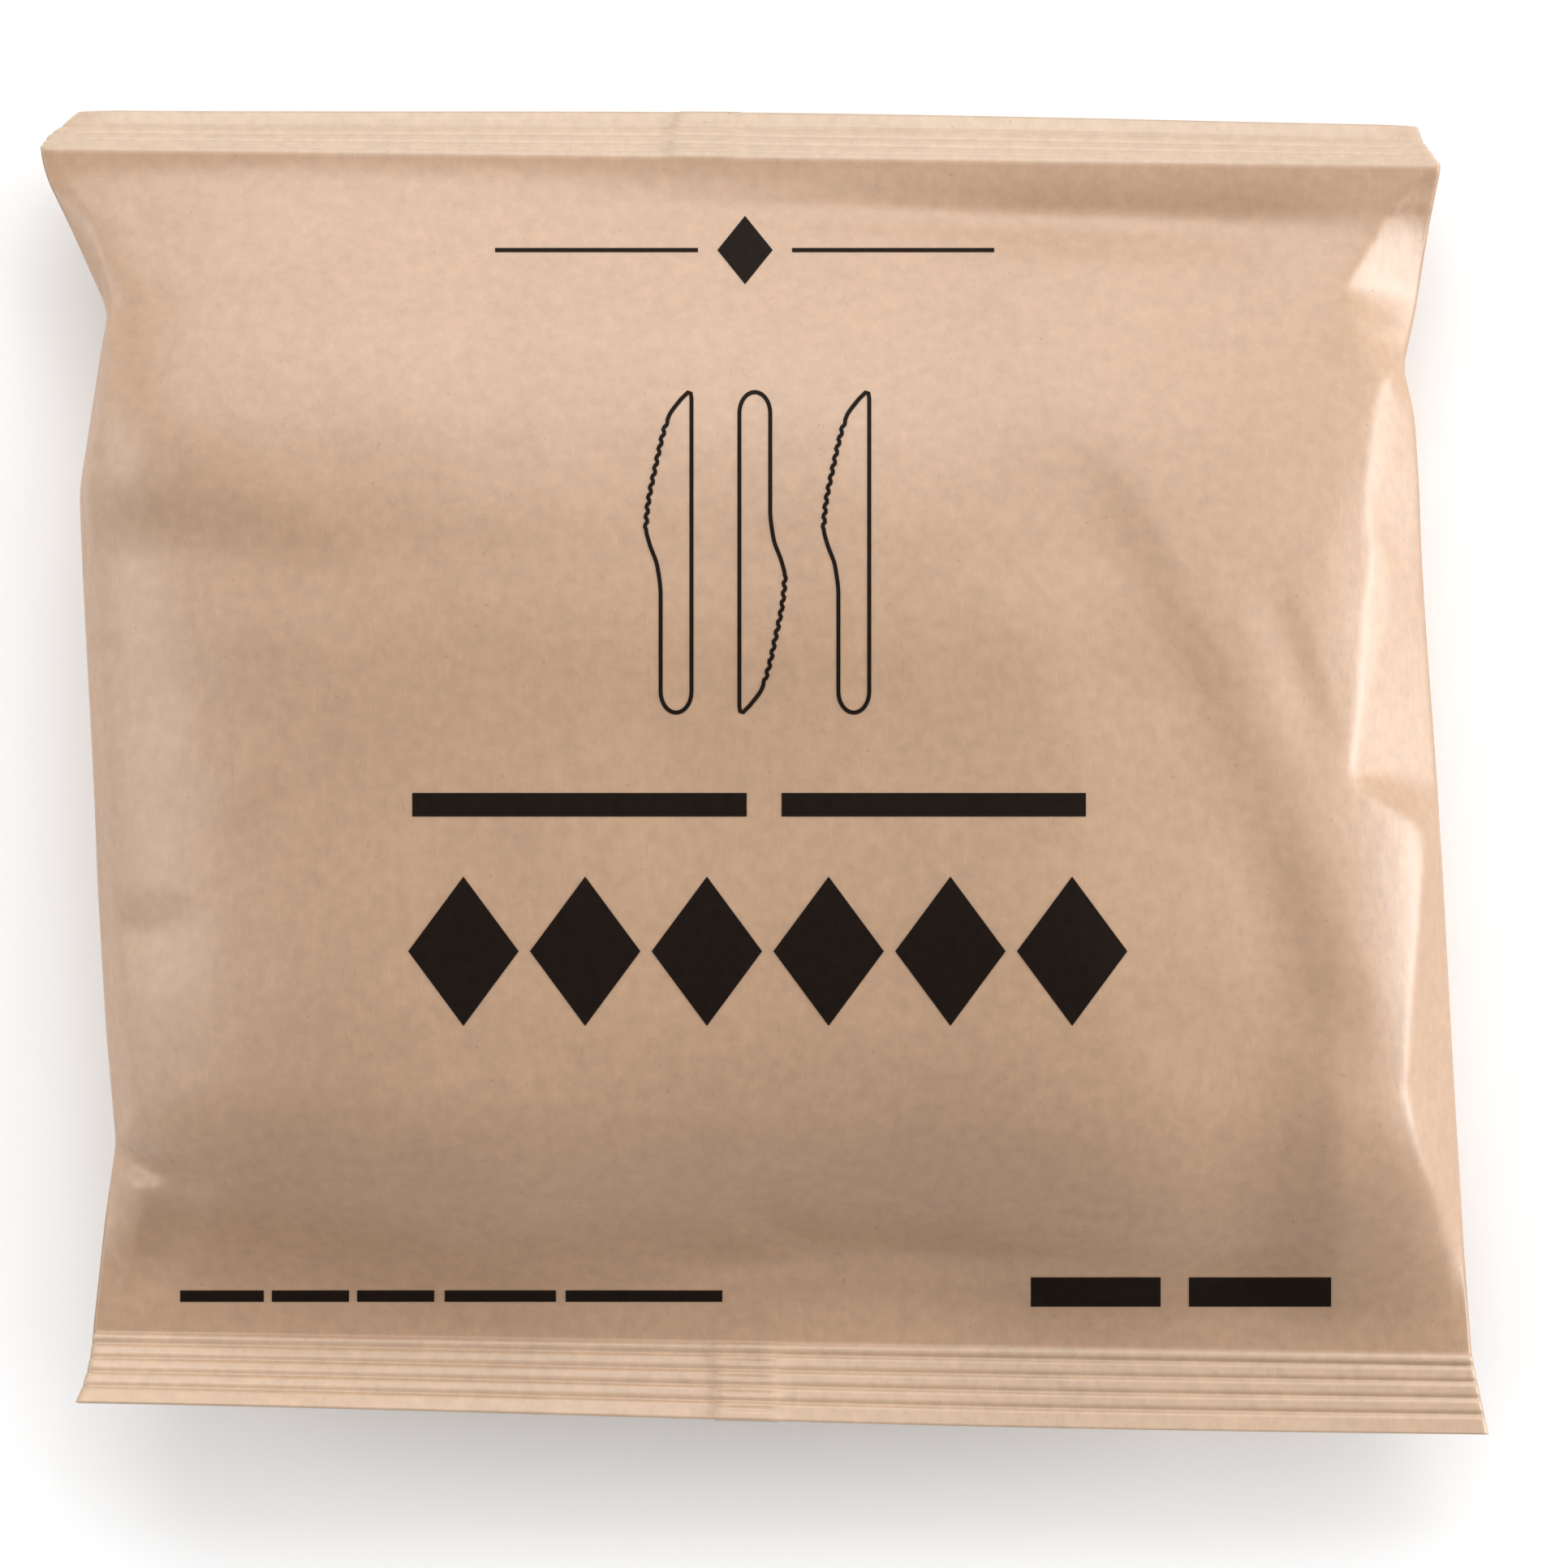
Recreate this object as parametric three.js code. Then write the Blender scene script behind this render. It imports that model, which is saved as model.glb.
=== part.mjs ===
// A sealed pillow pack of kraft paper, lying on its back. The bundle of wooden knives inside can't be seen.
// One flat tube of paper is closed by a crimped seal at each end and by a flap seam down the back.
// Millimetres, +X to the right of the front panel, +Y to the top seal, +Z out of the front panel.
import * as THREE from "three";

// Paper tube
const TUBE_WIDTH = 199.4; // flat width, and so the length of both end seals
const PANEL_LENGTH = 168.6; // from one seal's root to the other's
const PAPER_THICKNESS = 0.2; // one layer, kraft with its sealing film
const LEAN = 5.6; // how far the bottom seal sits to the right of the top seal
const TOP_TILT = 0.7; // degrees that the top seal falls to the right
const BOTTOM_TILT = 0.9; // the same for the bottom seal

// Filled body
const SEAM_HEIGHT = 19; // side edges and seal roots above the surface that the pack lies on
const CROWN_RISE = 23.5; // top of the front panel above the side edges
const BASE_SPREAD = 1.3; // how hard the back is pressed flat: over 1, its middle rests on the surface
const END_BLEND = 34; // distance from a seal over which the section turns from a lens to a cushion
const TOP_BLEND = { left: 16, right: 24 }; // the same for the top of the front, which is fuller

// Slopes at the two ends: distance from the seal's root, share of the full height
const FRONT_TOP_SLOPE = [[0, 0], [6, 0], [12, 0.14], [20, 0.34], [30, 0.58], [42, 0.79], [55, 0.92], [72, 1]];
const FRONT_BOTTOM_SLOPE = [[0, 0], [5, 0.03], [12, 0.15], [22, 0.5], [34, 0.81], [48, 0.95], [66, 1]];
const BACK_SLOPE = [[0, 0], [4, 0.22], [9, 0.46], [16, 0.7], [28, 0.93], [42, 1]];

// Sections: a side is flatter with a high fullness, and rounder with a high roundness
const LENS = { fullness: 2, roundness: 1.1 };
const LEFT_SIDE = { fullness: 4.2, roundness: 2 };
// The right side hangs lower at the top than at the bottom: distance below the top seal, value
const RIGHT_FULLNESS = [[0, 2.3], [70, 2.5], [100, 3.5], [120, 4], [PANEL_LENGTH, 4]];
const RIGHT_ROUNDNESS = [[0, 2], [75, 2], [105, 2.3], [PANEL_LENGTH, 2.3]];
const BACK_SIDE = { fullness: 4.5, roundness: 2 };

// Plan of the side edges: distance from the nearer seal's root, distance in from the flat tube's edge
const LEFT_TOP_EDGE = [[0, 0], [4, 0.8], [11, 4], [23, 9], [27, 8], [48.5, 4]];
const LEFT_BOTTOM_EDGE = [[0, 1.9], [17, 4.3], [27, 6.1], [44, 5.2], [64, 4.7]];
const RIGHT_TOP_EDGE = [[0, 0], [4, 0.7], [19, 3.4], [28.5, 6.1], [36, 4.9], [46, 4.6]];
const RIGHT_BOTTOM_EDGE = [[0, 1.2], [14, 1.8], [40, 2.5], [75, 3.2]];
const EDGE_ROUNDING = 1.6; // half the length of the round at each corner of the side edges
const EDGE_MIDDLE = [0.3, 0.6]; // shares of the way down between which the upper edge turns into the lower one

// Side walls of the front: share of the way down the panel, rise for each mm in from the edge
const LEFT_WALL = [[0, 0.9], [0.14, 2.6], [0.28, 3.2], [0.84, 2.2], [1, 0.9]];
const RIGHT_WALL = [
  [0, 0.25], [0.06, 0.28], [0.11, 0.42], [0.17, 1.9], [0.21, 1.7], [0.29, 1.35],
  [0.48, 1.07], [0.62, 1.85], [0.77, 1.15], [0.89, 1], [1, 0.4],
];
const WALL_ROUNDING = 2.4; // softness of the crease where a wall meets the front panel

// Buckles that run in from a side edge: distance from a seal's root, reach, half width at the edge,
// share of the height that is lost there, and how far the buckle moves down for each mm of its reach
const LEFT_CREASES = [
  { fromTop: 23, reach: 17, half: 11, depth: 0.5, slant: -0.35 },
  { fromTop: 70.5, reach: 8, half: 3.2, depth: 0.14, slant: 0 },
  { fromBottom: 55, reach: 9, half: 4, depth: 0.14, slant: 0.1 },
  { fromBottom: 27, reach: 12, half: 8, depth: 0.5, slant: 0.3 },
];
const RIGHT_CREASES = [
  { fromTop: 28.5, reach: 13, half: 7, depth: 0.4, slant: -0.85 },
  { fromTop: 62, reach: 11, half: 8, depth: 0.16, slant: -0.3 },
  { fromBottom: 64, reach: 12, half: 9, depth: 0.18, slant: 0.4 },
  { fromBottom: 37, reach: 14, half: 8, depth: 0.22, slant: -0.5 },
];
const BACK_CREASE_SHARE = 0.7; // the same creases on the back, beside those of the front

// Folds of the front panel, each along a line from one place to another. A place is a share of the way from
// the middle to a side edge, and a share of the way down. Rise in mm, and half widths to the line's two sides.
const FOLDS = [
  { from: [-0.985, 0.01], to: [-0.94, 0.115], rise: 2.2, left: 9, right: 3.6, power: 1.5 },
  { from: [0.3, 0.045], to: [0.94, 0.04], rise: -1.3, left: 6, right: 7, power: 2 },
  { from: [0.5, 0.26], to: [0.71, 0.58], rise: -1, left: 9, right: 20, power: 2 },
  { from: [0.64, 0.47], to: [0.81, 0.8], rise: -1.6, left: 12, right: 26, power: 2 },
  { from: [0.79, 0.66], to: [0.74, 1.1], rise: -2.4, left: 15, right: 32, power: 2 },
  { from: [1.06, -0.05], to: [0.6, 0.28], rise: 2, left: 22, right: 15, power: 2 },
  { from: [0, 0.915], to: [0.68, 0.925], rise: -1.1, left: 9, right: 5, power: 1.4 },
  { from: [-0.3, 0.88], to: [0.06, 0.885], rise: -1, left: 9, right: 7, power: 2 },
  { from: [-0.86, 0.27], to: [-0.5, 0.3], rise: 0.8, left: 13, right: 9, power: 2 },
  { from: [-0.95, 0.5], to: [-0.6, 0.46], rise: 0.6, left: 10, right: 8, power: 2 },
  { from: [-0.5, 0.16], to: [0.4, 0.18], rise: 0.5, left: 10, right: 12, power: 2 },
];
const FOLD_FADE = 4; // a fold fades out over this distance from the panel's outline

// End seals, from the root to the free edge: a plain band, grooves with ridges between them, and a plain rim
const ROOT_BAND = 1;
const GROOVE_COUNT = 4;
const GROOVE_WIDTH = 1;
const GROOVE_DEPTH = 0.5;
const RIDGE_WIDTH = 1.3;
const SEAL_RIM = 2.4;
const BEND_HALF = 1.2; // half the length over which a seal's bend changes, past its last groove
// How far a seal falls below level, in its ribbed part and in its plain rim: share of the way across, degrees.
// The bottom seal rises above level, most at its left end.
const TOP_BEND = { ribbed: [[0, 58], [0.5, 51], [1, 56]], plain: [[0, 28], [1, 28]] };
const BOTTOM_BEND = { ribbed: [[0, -34], [1, -4]], plain: [[0, -36], [1, -6]] };
// The top seal's corners are rolled back: by how much in plan, and how sharply towards the free edge
const TOP_CORNER_CUT = { left: 3.8, right: 1.9 };
const CORNER_CURVE = { left: 3, right: 1.3 };
const CORNER_ROLL = 7; // length of the rolled corner along the edge
const CORNER_DROP = 1.6; // how far it is rolled down
const BOTTOM_FLARE = 2.3; // the bottom seal spreads back to the tube's flat width
const WAVE_HEIGHT = 0.5; // gentle wave of the free edges
const WAVE_COUNT = 1.3; // waves along a free edge
const WAVE_START = 0.2; // share of a wave that lies before the left end

// Seam down the back: a flap of two layers, folded flat to the left of the fold as seen from the front
const FLAP_FOLD = 0.495; // place of the fold across the tube, as a share of its width from the left
const FLAP_WIDTH = 9;
const FLAP_THICKNESS = 0.5;
const FLAP_RELIEF = 2.2; // width beside the flap over which the wall comes back out to the flap's face
const FLAP_SHOW = 0.3; // share of the flap's thickness that shows through on the front of the seals
const FLAP_EDGE = 0.1; // half the width of the step at the flap's edges

// Fineness of the mesh
const LEFT_COLUMNS = 17;
const RIGHT_COLUMNS = 21;
const BODY_ROWS = 40;
const EDGE_CROWDING = 0.65; // 0 for even rows and columns, 1 for the closest ones at the outline

const CRIMP_PITCH = GROOVE_WIDTH + RIDGE_WIDTH;
const RIBBED_DEPTH = ROOT_BAND + GROOVE_COUNT * CRIMP_PITCH - RIDGE_WIDTH;
const SEAL_DEPTH = RIBBED_DEPTH + SEAL_RIM;

const radians = THREE.MathUtils.degToRad;
const { lerp, smoothstep } = THREE.MathUtils;

// A smooth function through stations [place, value], without overshoot, level beyond its ends.
function smoothLine(stations) {
  const slopes = stations.map((_, i) => {
    if (i === 0 || i === stations.length - 1) return 0;
    const before = slopeBetween(stations[i - 1], stations[i]);
    const after = slopeBetween(stations[i], stations[i + 1]);
    return before * after <= 0 ? 0 : (2 * before * after) / (before + after);
  });
  return (place) => {
    if (place <= stations[0][0]) return stations[0][1];
    const next = stations.findIndex(([at]) => at > place);
    if (next < 0) return stations.at(-1)[1];
    const [x0, y0] = stations[next - 1];
    const [x1, y1] = stations[next];
    const span = x1 - x0;
    const t = (place - x0) / span;
    const rest = 1 - t;
    return (
      y0 * rest * rest * (1 + 2 * t) +
      y1 * t * t * (3 - 2 * t) +
      slopes[next - 1] * span * t * rest * rest -
      slopes[next] * span * t * t * rest
    );
  };
}

function slopeBetween([x0, y0], [x1, y1]) {
  return (y1 - y0) / (x1 - x0);
}

// Straight lines from station to station, with each corner rounded over a half length.
function roundedLine(stations, half) {
  const straight = (place) => {
    const next = stations.findIndex(([at]) => at > place);
    if (next === 0) return stations[0][1];
    if (next < 0) return stations.at(-1)[1];
    const [x0, y0] = stations[next - 1];
    return y0 + (place - x0) * slopeBetween(stations[next - 1], stations[next]);
  };
  const samples = [-1, -0.5, 0, 0.5, 1];
  return (place) => samples.reduce((sum, at) => sum + straight(place + at * half), 0) / samples.length;
}

function smoothMin(a, b, rounding) {
  const near = Math.max(rounding - Math.abs(a - b), 0) / rounding;
  return Math.min(a, b) - (near * near * rounding) / 4;
}

// One side's edge: its distance in from the flat tube's edge, by the distance below the top seal.
function sideEdge(fromTop, fromBottom) {
  const upper = roundedLine(fromTop, EDGE_ROUNDING);
  const lower = roundedLine(fromBottom, EDGE_ROUNDING);
  return (below) => {
    const down = smoothstep(below / PANEL_LENGTH, ...EDGE_MIDDLE);
    return lerp(upper(below), lower(PANEL_LENGTH - below), down);
  };
}

const leftInset = sideEdge(LEFT_TOP_EDGE, LEFT_BOTTOM_EDGE);
const rightInset = sideEdge(RIGHT_TOP_EDGE, RIGHT_BOTTOM_EDGE);
const frontTopSlope = smoothLine(FRONT_TOP_SLOPE);
const frontBottomSlope = smoothLine(FRONT_BOTTOM_SLOPE);
const backSlope = smoothLine(BACK_SLOPE);
const rightFullness = smoothLine(RIGHT_FULLNESS);
const rightRoundness = smoothLine(RIGHT_ROUNDNESS);
const leftWall = smoothLine(LEFT_WALL);
const rightWall = smoothLine(RIGHT_WALL);
const topBend = { ribbed: smoothLine(TOP_BEND.ribbed), plain: smoothLine(TOP_BEND.plain) };
const bottomBend = { ribbed: smoothLine(BOTTOM_BEND.ribbed), plain: smoothLine(BOTTOM_BEND.plain) };

// The line across the pack at a distance below the top seal's root: its two ends in plan.
function rowLine(below, leftEnd, rightEnd) {
  const share = THREE.MathUtils.clamp(below / PANEL_LENGTH, 0, 1);
  const middle = new THREE.Vector2(lerp(-LEAN / 2, LEAN / 2, share), PANEL_LENGTH / 2 - below);
  const tilt = Math.tan(radians(lerp(TOP_TILT, BOTTOM_TILT, share)));
  const half = TUBE_WIDTH / 2;
  const at = (x) => new THREE.Vector2(middle.x + x, middle.y - tilt * x);
  return { left: at(-half + leftEnd), right: at(half - rightEnd) };
}

// How much is left of the height beside the creases of an edge, at a distance in from that edge.
function creaseShare(creases, inward, below) {
  return creases.reduce((left, crease) => {
    const run = 1 - inward / crease.reach;
    if (run <= 0) return left;
    const middle = crease.fromTop ?? PANEL_LENGTH - crease.fromBottom;
    const off = Math.abs(below - middle - crease.slant * inward);
    const tent = Math.max(0, 1 - off / (crease.half * run));
    return left * (1 - crease.depth * tent * run);
  }, 1);
}

// Share of the crown height across a section: 0 at the side edges, 1 in the middle.
function sectionShare(side, across, below, topBlend = END_BLEND) {
  const above = PANEL_LENGTH - below;
  const full = Math.min(smoothstep(below, 0, topBlend), smoothstep(above, 0, END_BLEND));
  const fullness = lerp(LENS.fullness, side.fullness, full);
  const roundness = lerp(LENS.roundness, side.roundness, full);
  return Math.pow(Math.max(0, 1 - Math.pow(Math.abs(across), fullness)), 1 / roundness);
}

// Height that the folds add at a place on the front panel.
function foldRise(across, below) {
  const place = new THREE.Vector2(across * (TUBE_WIDTH / 2), -below);
  return FOLDS.reduce((sum, fold) => {
    const from = new THREE.Vector2(fold.from[0] * (TUBE_WIDTH / 2), -fold.from[1] * PANEL_LENGTH);
    const line = new THREE.Vector2(fold.to[0] * (TUBE_WIDTH / 2), -fold.to[1] * PANEL_LENGTH).sub(from);
    const offset = place.clone().sub(from);
    const along = offset.dot(line) / line.lengthSq();
    const aside = line.cross(offset) / line.length();
    const reach = Math.abs(aside) / (aside > 0 ? fold.left : fold.right);
    if (along <= 0 || along >= 1 || reach >= 1) return sum;
    const ends = Math.sqrt(Math.sin(Math.PI * along));
    const profile = fold.power === 2 ? (1 - reach * reach) ** 2 : (1 - reach) ** fold.power;
    return sum + fold.rise * profile * ends;
  }, 0);
}

// Height of the front panel above the side edges.
function frontRise(share, below, width) {
  const above = PANEL_LENGTH - below;
  const toSeal = Math.min(above, below);
  const across = 2 * share - 1;
  const rightSide = { fullness: rightFullness(below), roundness: rightRoundness(below) };
  const section =
    across < 0
      ? sectionShare(LEFT_SIDE, across, below, TOP_BLEND.left)
      : sectionShare(rightSide, across, below, TOP_BLEND.right);
  const pillow = CROWN_RISE * frontTopSlope(below) * frontBottomSlope(above) * section;
  const fromLeft = share * width;
  const fromRight = (1 - share) * width;
  const down = below / PANEL_LENGTH;
  const leftLimit = leftWall(down) * fromLeft;
  const rightLimit = rightWall(down) * fromRight;
  const walled = smoothMin(smoothMin(pillow, leftLimit, WALL_ROUNDING), rightLimit, WALL_ROUNDING);
  const body = Math.max(walled, Math.min(pillow, 0));
  const creases = creaseShare(LEFT_CREASES, fromLeft, below) * creaseShare(RIGHT_CREASES, fromRight, below);
  const inside = Math.min(fromLeft, fromRight, toSeal);
  return body * creases + foldRise(across, below) * smoothstep(inside, 0, FOLD_FADE);
}

// Depth of the back below the side edges, before the surface under the pack presses it flat.
function backDrop(share, below, width) {
  const above = PANEL_LENGTH - below;
  const left = creaseShare(LEFT_CREASES, share * width, below);
  const right = creaseShare(RIGHT_CREASES, (1 - share) * width, below);
  const drop = BASE_SPREAD * SEAM_HEIGHT * backSlope(above) * backSlope(below);
  return drop * sectionShare(BACK_SIDE, 2 * share - 1, below) * lerp(1, left * right, BACK_CREASE_SHARE);
}

// How far a place across the tube lies outside the flap, negative on the flap.
function outsideFlap(share) {
  const fold = FLAP_FOLD * TUBE_WIDTH;
  const place = share * TUBE_WIDTH;
  return Math.max(place - fold, fold - FLAP_WIDTH - place);
}

// The flap stands out from the wall by its thickness.
function flapRaise(share) {
  return outsideFlap(share) < 0 ? FLAP_THICKNESS : 0;
}

// Where the flap bears on the surface under the pack, the wall beside it stays clear of that surface.
function flapRelief(share) {
  const outside = outsideFlap(share);
  if (outside <= 0 || outside >= FLAP_RELIEF) return 0;
  return FLAP_THICKNESS * (1 - (outside - FLAP_EDGE) / (FLAP_RELIEF - FLAP_EDGE));
}

// Places from 0 to 1, crowded towards 0 by a quarter turn's cosine.
function crowdedPlaces(count) {
  return Array.from({ length: count }, (_, i) => {
    const even = i / (count - 1);
    return lerp(even, 1 - Math.cos((Math.PI / 2) * even), EDGE_CROWDING);
  });
}

// Places across the tube, as shares from the left: close together at the sides, and a step at the flap's edges.
function columnShares() {
  const free = FLAP_FOLD - FLAP_WIDTH / TUBE_WIDTH;
  const relief = FLAP_RELIEF / TUBE_WIDTH;
  const edge = FLAP_EDGE / TUBE_WIDTH;
  const left = crowdedPlaces(LEFT_COLUMNS).map((place) => place * (free - relief));
  const right = crowdedPlaces(RIGHT_COLUMNS).map((place) => 1 - place * (1 - FLAP_FOLD - relief));
  return [...left, free - edge, free + edge, FLAP_FOLD - edge, FLAP_FOLD + edge, ...right.reverse()];
}

const COLUMNS = columnShares();

// A closed loop of points round the pack: the front from left to right, then the back from right to left.
function loop(front, back) {
  const last = COLUMNS.length - 1;
  const over = COLUMNS.map((share) => front(share));
  const under = COLUMNS.slice(1, last).map((share) => back(share)).reverse();
  return [...over, ...under];
}

// Half the thickness of the two layers where they meet, none at the side edges.
function halfThickness(share) {
  return share === 0 || share === 1 ? 0 : PAPER_THICKNESS;
}

// One loop of the filled body. The surface under the pack presses its back flat.
function bodyLoop(below) {
  const line = rowLine(below, leftInset(below), rightInset(below));
  const width = line.left.distanceTo(line.right);
  const at = (share, height) => {
    const point = line.left.clone().lerp(line.right, share);
    return new THREE.Vector3(point.x, point.y, height);
  };
  return loop(
    (share) => at(share, SEAM_HEIGHT + halfThickness(share) + frontRise(share, below, width)),
    (share) => {
      const wall = SEAM_HEIGHT - halfThickness(share) - backDrop(share, below, width) - flapRaise(share);
      return at(share, Math.max(flapRelief(share), wall));
    },
  );
}

// Rows of the body from the bottom seal to the top one, closer together near the seals.
function bodyRows() {
  return Array.from({ length: BODY_ROWS + 1 }, (_, i) => {
    const even = i / BODY_ROWS;
    const eased = (1 - Math.cos(Math.PI * even)) / 2;
    return PANEL_LENGTH * (1 - lerp(even, eased, EDGE_CROWDING));
  });
}

// Distances from a seal's root at which the seal has a row: three to each groove, and two for the rim.
function sealStations() {
  const grooves = Array.from({ length: GROOVE_COUNT }, (_, i) => ROOT_BAND + i * CRIMP_PITCH);
  const ribbed = grooves.flatMap((start) => [start, start + GROOVE_WIDTH / 2, start + GROOVE_WIDTH]);
  return [...ribbed, RIBBED_DEPTH + SEAL_RIM / 2, SEAL_DEPTH];
}

function crimp(out) {
  const first = ROOT_BAND + GROOVE_WIDTH / 2;
  const nearest = THREE.MathUtils.clamp(Math.round((out - first) / CRIMP_PITCH), 0, GROOVE_COUNT - 1);
  const off = Math.abs(out - first - nearest * CRIMP_PITCH) / (GROOVE_WIDTH / 2);
  return off >= 1 ? 0 : (-GROOVE_DEPTH * (1 + Math.cos(Math.PI * off))) / 2;
}

// The seal's middle line in section: how far out and down it has gone, and which way its front face looks.
function sealLine(bend, across, out) {
  const steps = 16;
  const ribbed = bend.ribbed(across);
  const plain = bend.plain(across);
  const turned = (s) => smoothstep(s, RIBBED_DEPTH - BEND_HALF, RIBBED_DEPTH + BEND_HALF);
  const angleAt = (s) => radians(lerp(ribbed, plain, turned(s)));
  const line = { out: 0, down: 0 };
  for (let i = 0; i < steps; i++) {
    const angle = angleAt((out * (i + 0.5)) / steps);
    line.out += (Math.cos(angle) * out) / steps;
    line.down += (Math.sin(angle) * out) / steps;
  }
  const angle = angleAt(out);
  return { ...line, normalOut: Math.sin(angle), normalUp: Math.cos(angle) };
}

// One loop of an end seal: two layers of paper, pressed together and crimped.
function sealLoop(atTop, out) {
  const sign = atTop ? 1 : -1;
  const share = out / SEAL_DEPTH;
  const below = atTop ? 0 : PANEL_LENGTH;
  const end = (inset, side) => {
    return atTop ? TOP_CORNER_CUT[side] * share ** CORNER_CURVE[side] : inset(below) - BOTTOM_FLARE * share;
  };
  const row = rowLine(below, end(leftInset, "left"), end(rightInset, "right"));
  const width = row.left.distanceTo(row.right);
  const at = (across, layer) => {
    const point = row.left.clone().lerp(row.right, across);
    const line = sealLine(atTop ? topBend : bottomBend, across, out);
    const lift = layer + crimp(out);
    const toEnd = Math.min(across, 1 - across) * width;
    const roll = atTop ? CORNER_DROP * share * Math.max(0, 1 - toEnd / CORNER_ROLL) ** 2 : 0;
    const wave = WAVE_HEIGHT * share * share * Math.sin(2 * Math.PI * (WAVE_COUNT * across + WAVE_START));
    return new THREE.Vector3(
      point.x,
      point.y + sign * (line.out + lift * line.normalOut),
      SEAM_HEIGHT - line.down + lift * line.normalUp - roll + wave,
    );
  };
  return loop(
    (across) => at(across, halfThickness(across) + FLAP_SHOW * flapRaise(across)),
    (across) => at(across, -halfThickness(across) - flapRaise(across)),
  );
}

// A solid through a row of loops of equal length, closed at its two ends.
function loft(loops) {
  const count = loops[0].length;
  const positions = loops.flat().flatMap((point) => point.toArray());
  const triangles = [];
  const quad = (a, b, c, d) => triangles.push(a, b, c, a, c, d);
  for (let row = 0; row < loops.length - 1; row++) {
    for (let i = 0; i < count; i++) {
      const next = (i + 1) % count;
      quad(row * count + i, row * count + next, (row + 1) * count + next, (row + 1) * count + i);
    }
  }
  const last = count / 2;
  const cap = (start, turned) => {
    const face = (a, b, c) => triangles.push(...(turned ? [a, c, b] : [a, b, c]));
    for (let i = 0; i < last; i++) {
      const under = (k) => start + ((count - k) % count);
      if (i > 0) face(start + i, under(i), under(i + 1));
      if (i < last - 1) face(start + i, under(i + 1), start + i + 1);
    }
  };
  cap(0, false);
  cap((loops.length - 1) * count, true);
  const geometry = new THREE.BufferGeometry();
  geometry.setAttribute("position", new THREE.Float32BufferAttribute(positions, 3));
  geometry.setIndex(triangles);
  geometry.computeVertexNormals();
  return geometry;
}

// The pack from the free edge of its bottom seal to the free edge of its top seal.
function packGeometry() {
  const stations = sealStations();
  const loops = [
    ...stations.toReversed().map((out) => sealLoop(false, out)),
    ...bodyRows().map((below) => bodyLoop(below)),
    ...stations.map((out) => sealLoop(true, out)),
  ];
  return loft(loops);
}

// The origin is the middle of the pack's outline, on the surface that it lies on.
function centred(geometry) {
  geometry.computeBoundingBox();
  const { min, max } = geometry.boundingBox;
  geometry.translate(-(min.x + max.x) / 2, -(min.y + max.y) / 2, -min.z);
  return geometry;
}

const kraft = new THREE.MeshStandardMaterial({ color: 0xc7a486, roughness: 0.75, metalness: 0 });
const pack = new THREE.Mesh(centred(packGeometry()), kraft);
pack.name = "paper_pack";

const cutleryPack = new THREE.Group();
cutleryPack.add(pack);

export default cutleryPack;
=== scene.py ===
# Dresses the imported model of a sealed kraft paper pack. The pack lies on its back, with its front panel up.
# The paper's surface is worked out in millimetres from the pack's own middle, and then set on the CAD box.
import math

import bpy
import numpy as np
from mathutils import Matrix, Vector, noise


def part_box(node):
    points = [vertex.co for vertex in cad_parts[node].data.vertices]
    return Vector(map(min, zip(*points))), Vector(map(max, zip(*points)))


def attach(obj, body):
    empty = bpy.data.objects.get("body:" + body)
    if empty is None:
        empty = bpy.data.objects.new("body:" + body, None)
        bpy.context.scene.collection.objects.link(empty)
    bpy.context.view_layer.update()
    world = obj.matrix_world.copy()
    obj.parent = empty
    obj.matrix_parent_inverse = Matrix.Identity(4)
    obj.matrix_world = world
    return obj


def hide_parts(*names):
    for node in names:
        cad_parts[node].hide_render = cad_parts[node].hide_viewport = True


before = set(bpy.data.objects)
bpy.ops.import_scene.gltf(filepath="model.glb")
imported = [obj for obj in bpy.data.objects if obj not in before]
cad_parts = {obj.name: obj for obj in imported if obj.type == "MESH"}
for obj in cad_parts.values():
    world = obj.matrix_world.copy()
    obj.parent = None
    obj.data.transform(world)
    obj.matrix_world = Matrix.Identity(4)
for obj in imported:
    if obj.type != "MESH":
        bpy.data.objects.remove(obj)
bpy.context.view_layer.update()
NODE = "paper_pack"
MM = 0.001

# Paper tube and filled body, with the CAD's sizes
TUBE_WIDTH = 199.4  # flat width, and so the length of both end seals
PANEL_LENGTH = 168.6  # from one seal's root to the other's
PAPER_THICKNESS = 0.2  # one layer, kraft with its sealing film
LEAN = 5.6  # how far the bottom seal sits to the right of the top seal
TOP_TILT = 0.7  # degrees that the top seal falls to the right
BOTTOM_TILT = 0.9  # the same for the bottom seal
SEAM_HEIGHT = 19  # side edges and seal roots above the surface that the pack lies on
CROWN_RISE = 23.5  # top of the front panel above the side edges
BASE_SPREAD = 1.3  # how hard the back is pressed flat: over 1, its middle rests on the surface
END_BLEND = 34  # distance from a seal over which the section turns from a lens to a cushion
TOP_BLEND = {"left": 10, "right": 24}  # the same for the top of the front, which is fuller

# Slopes at the two ends: distance from the seal's root, share of the full height
# The sides have slopes of their own. They take over between two shares of the way to the side edge.
FRONT_TOP_SLOPE = [[0, 0], [6, 0], [12, 0.14], [20, 0.34], [30, 0.58], [42, 0.79], [55, 0.92], [72, 1]]
FRONT_BOTTOM_SLOPE = [[0, 0], [5, 0.03], [12, 0.15], [22, 0.5], [34, 0.81], [48, 0.95], [66, 1]]
LEFT_TOP_SLOPE = [
    [0, 0], [2, 0.01], [7, 0.09], [12, 0.19], [20, 0.38], [30, 0.61], [42, 0.8], [55, 0.92], [72, 1],
]
LEFT_BOTTOM_SLOPE = [[0, 0], [5, 0.06], [11, 0.24], [20, 0.6], [29, 0.85], [38, 0.96], [52, 1]]
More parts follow.
